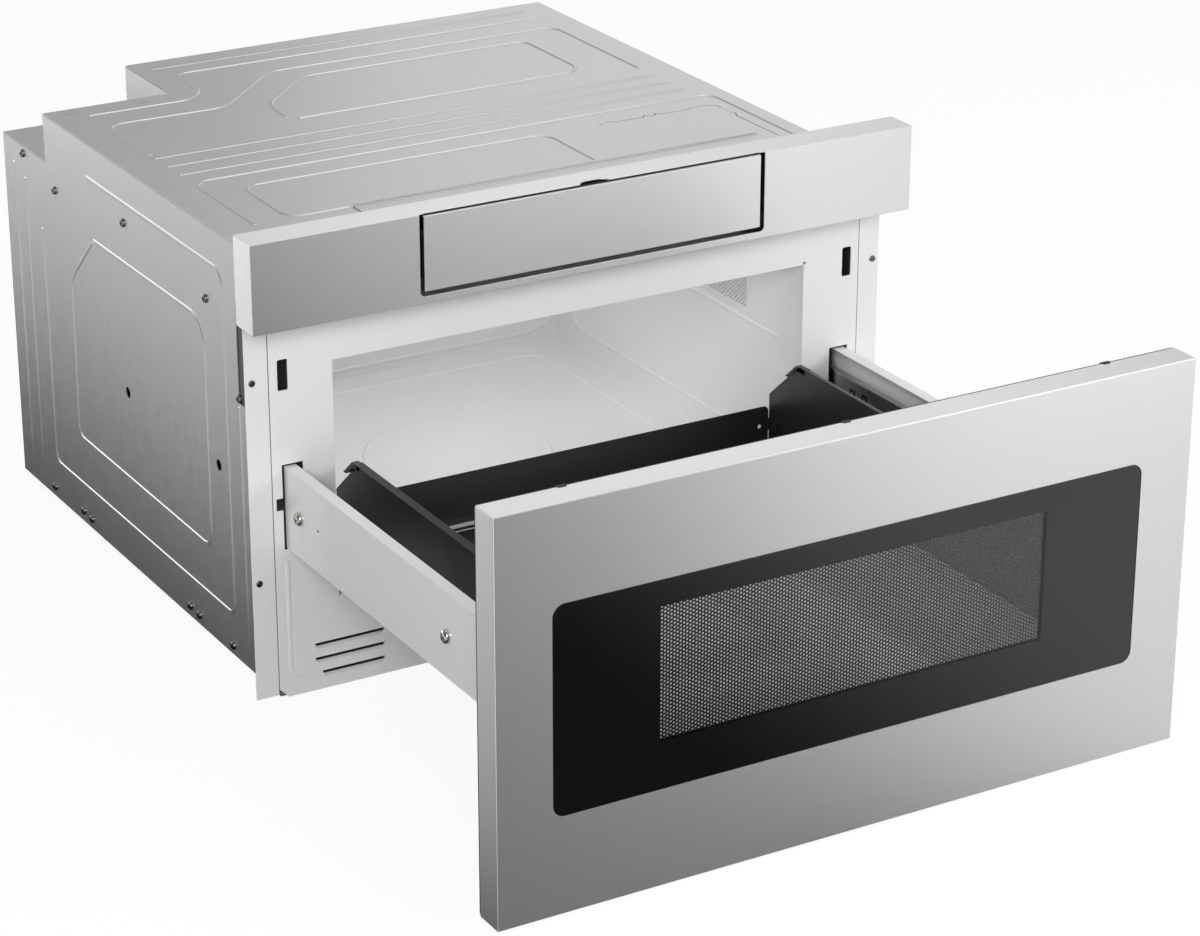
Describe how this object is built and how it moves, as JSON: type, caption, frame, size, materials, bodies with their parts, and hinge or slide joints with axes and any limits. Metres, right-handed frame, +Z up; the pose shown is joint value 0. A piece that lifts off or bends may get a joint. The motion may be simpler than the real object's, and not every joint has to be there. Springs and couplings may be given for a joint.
{
  "type": "microwave drawer",
  "caption": "Built-in microwave oven whose whole front slides out as a drawer with a glass tray, on telescopic slides driven by a rack, with a tilting control flap",
  "frame": {"origin": "middle of the cabinet footprint, on the underside of the middle skid", "axes": "+X to the right seen from the front, +Y towards the rear of the cabinet (the drawer opens towards -Y), +Z up"},
  "size_m": [0.6066, 0.9708, 0.4038],
  "materials": {
    "galvanised_steel": "satin grey coated steel sheet",
    "white_enamel": "smooth white enamel",
    "stainless_steel": "stainless steel brushed from side to side",
    "black_enamel": "satin black enamel",
    "black_glass": "polished black glass",
    "opal_glass": "polished opal glass-ceramic",
    "black_plastic": "moulded, fine grain",
    "zinc_plated_steel": "bright zinc plating",
    "dark_steel": "dark grey plated steel",
    "white_plastic": "moulded, smooth",
    "circuit_board": "glass-fibre board with solder mask",
    "varnished_iron": "varnished laminations and windings",
    "aluminium": "plain sheet and fins"
  },
  "bodies": {
    "cabinet": {"base_plate": "galvanised_steel", "top_panel": "galvanised_steel", "back_panel": "galvanised_steel", "corner_pocket": "galvanised_steel", "front_frame": "white_enamel", "cavity": "white_enamel", "antenna_cover": "white_plastic", "antenna_motor": "dark_steel", "waveguide": "zinc_plated_steel", "lamp_grille": "white_enamel", "cavity_lamp": "white_plastic", "magnetron": "aluminium", "transformer": "varnished_iron", "capacitor": "aluminium", "fan_housing": "zinc_plated_steel", "fan_motor": "dark_steel", "cord_gland": "black_plastic", "control_fascia": "stainless_steel", "control_housing": "black_plastic", "control_board": "circuit_board", "fascia_support": "galvanised_steel", "drive_motor": "dark_steel", "motor_bracket": "zinc_plated_steel", "left_side_panel": "galvanised_steel", "left_mounting_flange": "white_enamel", "left_latch_bracket": "dark_steel", "left_interlock_switch": "black_plastic", "left_slide_bracket": "zinc_plated_steel", "left_outer_rail": "zinc_plated_steel", "right_side_panel": "galvanised_steel", "right_mounting_flange": "white_enamel", "right_latch_bracket": "dark_steel", "right_interlock_switch": "black_plastic", "right_slide_bracket": "zinc_plated_steel", "right_outer_rail": "zinc_plated_steel"},
    "drawer": {"door_frame": "stainless_steel", "door_glass": "black_glass", "door_screen": "black_enamel", "door_cover": "black_enamel", "choke_frame": "black_plastic", "drive_rack": "white_plastic", "rear_rail": "black_enamel", "glass_tray": "opal_glass", "left_latch_hook": "black_plastic", "left_side_plate": "white_enamel", "left_inner_rail": "zinc_plated_steel", "left_guard": "black_enamel", "right_latch_hook": "black_plastic", "right_side_plate": "white_enamel", "right_inner_rail": "zinc_plated_steel", "right_guard": "black_enamel"},
    "left_middle": {"left_middle_rail": "zinc_plated_steel"},
    "right_middle": {"right_middle_rail": "zinc_plated_steel"},
    "pinion": {"drive_pinion": "white_plastic"},
    "flap": {"control_flap": "stainless_steel", "flap_carrier": "black_plastic", "touch_panel": "black_glass"},
    "fan": {"fan_rotor": "black_plastic"},
    "antenna": {"stirrer_antenna": "aluminium"}
  },
  "joints": [
    {"name": "drawer_slide", "type": "slide", "parent": "cabinet", "child": "drawer", "axis": [0, 1, 0], "range_m": [0, 0.382]},
    {"name": "left_middle_slide", "type": "slide", "parent": "cabinet", "child": "left_middle", "axis": [0, 1, 0], "range_m": [0, 0.191]},
    {"name": "right_middle_slide", "type": "slide", "parent": "cabinet", "child": "right_middle", "axis": [0, 1, 0], "range_m": [0, 0.191]},
    {"name": "pinion_spin", "type": "hinge", "parent": "cabinet", "child": "pinion", "pos_m": [0.25, -0.252, 0.1211], "axis": [1, 0, 0], "range_deg": [-1564, 0]},
    {"name": "flap_tilt", "type": "hinge", "parent": "cabinet", "child": "flap", "pos_m": [0, -0.302, 0.346], "axis": [1, 0, 0], "range_deg": [0, 45]},
    {"name": "fan_spin", "type": "hinge", "parent": "cabinet", "child": "fan", "pos_m": [-0.15, 0.18, 0.0651], "axis": [0, 1, 0], "continuous": true},
    {"name": "antenna_spin", "type": "hinge", "parent": "cabinet", "child": "antenna", "pos_m": [0, -0.066, 0.06], "axis": [0, 0, 1], "continuous": true}
  ],
  "couplings": [
    {"joint": "left_middle_slide", "follows": "drawer_slide", "ratio": 0.5},
    {"joint": "right_middle_slide", "follows": "drawer_slide", "ratio": 0.5},
    {"joint": "pinion_spin", "follows": "drawer_slide", "rad_per_m": -71.429}
  ]
}
